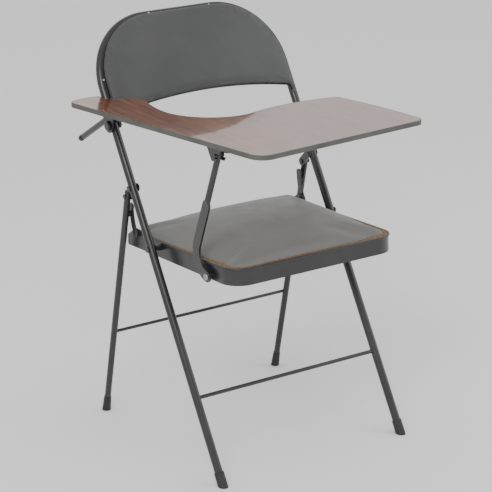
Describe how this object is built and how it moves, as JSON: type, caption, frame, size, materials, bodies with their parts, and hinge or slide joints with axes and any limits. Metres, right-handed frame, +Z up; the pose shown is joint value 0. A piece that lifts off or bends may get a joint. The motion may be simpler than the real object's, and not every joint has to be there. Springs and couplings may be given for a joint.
{
  "type": "student desk chair",
  "caption": "Steel folding chair with a padded vinyl seat and back and a wood-laminate writing tablet fixed on the sitter's right.",
  "frame": {"origin": "on the floor, under the middle of the whole object's box", "axes": "+Z up; the sitter faces -Y; the sitter's right, with the tablet's hinge, is on the -X side"},
  "size_m": [0.5079, 0.604, 0.7956],
  "materials": {
    "frame_paint": "semi-gloss near-black powder coat",
    "bright_hardware": "dull zinc plate",
    "foot_plastic": "satin black moulded caps",
    "back_vinyl": "smooth dark grey vinyl over a thin pad",
    "seat_vinyl": "grained mid-grey vinyl over foam",
    "board_core": "raw particle board",
    "wood_laminate": "glossy red-brown wood-grain laminate",
    "edge_band": "grey-black moulded edging"
  },
  "bodies": {
    "frame": {"front_frame_tube": "frame_paint", "front_crossbar": "frame_paint", "front_foot_cap_right": "foot_plastic", "front_foot_cap_left": "foot_plastic", "back_shell": "frame_paint", "back_cushion": "back_vinyl", "back_screws": "bright_hardware", "seat_pivot_rivets": "frame_paint", "seat_pivot_spacers": "frame_paint", "link_pivot_rivets": "frame_paint", "tablet_hinge_bolt": "frame_paint", "tablet_hinge_nut": "frame_paint", "tablet_hinge_washer": "frame_paint", "rear_peg": "frame_paint", "rear_peg_plug": "foot_plastic"},
    "rear_legs": {"rear_leg_right": "frame_paint", "rear_leg_left": "frame_paint", "rear_leg_plugs": "foot_plastic", "leg_top_rivets": "frame_paint", "leg_strap_right": "frame_paint", "leg_strap_left": "frame_paint", "rear_crossbar": "frame_paint", "rear_foot_cap_right": "foot_plastic", "rear_foot_cap_left": "foot_plastic"},
    "links": {"link_right": "frame_paint", "link_left": "frame_paint", "link_end_studs": "frame_paint"},
    "seat": {"seat_pan": "frame_paint", "seat_side_plate_right": "frame_paint", "seat_side_plate_left": "frame_paint", "seat_board": "board_core", "seat_screws": "bright_hardware", "seat_cushion": "seat_vinyl", "seat_link_spacers": "frame_paint", "seat_link_rivets": "frame_paint", "support_spacer": "frame_paint", "support_rivet": "bright_hardware"},
    "support": {"support_arm": "frame_paint", "support_pin": "frame_paint"},
    "tablet": {"tablet_board": "board_core", "tablet_laminate": "wood_laminate", "tablet_edge_band": "edge_band", "tablet_bracket": "frame_paint", "support_clip": "frame_paint", "tablet_screws": "bright_hardware"}
  },
  "joints": [
    {"name": "seat_fold", "type": "hinge", "parent": "frame", "child": "seat", "pos_m": [0.03375, 0.04088, 0.397], "axis": [1, 0, 0], "range_deg": [0, 58.8]},
    {"name": "rear_leg_fold", "type": "hinge", "parent": "seat", "child": "rear_legs", "pos_m": [0.03375, 0.11808, 0.4043], "axis": [1, 0, 0], "range_deg": [-101.3, 0]},
    {"name": "link_swing", "type": "hinge", "parent": "frame", "child": "links", "pos_m": [0.03375, 0.10508, 0.501], "axis": [1, 0, 0], "range_deg": [0, 74.6]},
    {"name": "tablet_fold", "type": "hinge", "parent": "frame", "child": "tablet", "pos_m": [0.03375, 0.16971, 0.61], "axis": [1, 0, 0], "range_deg": [0, 54.6]},
    {"name": "support_fold", "type": "hinge", "parent": "seat", "child": "support", "pos_m": [0.03375, -0.12912, 0.39], "axis": [1, 0, 0], "range_deg": [0, 68]}
  ],
  "couplings": [
    {"joint": "rear_leg_fold", "follows": "seat_fold", "ratio": -1.7224},
    {"joint": "link_swing", "follows": "seat_fold", "ratio": 1.2675},
    {"joint": "tablet_fold", "follows": "seat_fold", "ratio": 0.9269},
    {"joint": "support_fold", "follows": "seat_fold", "ratio": 1.1548}
  ]
}
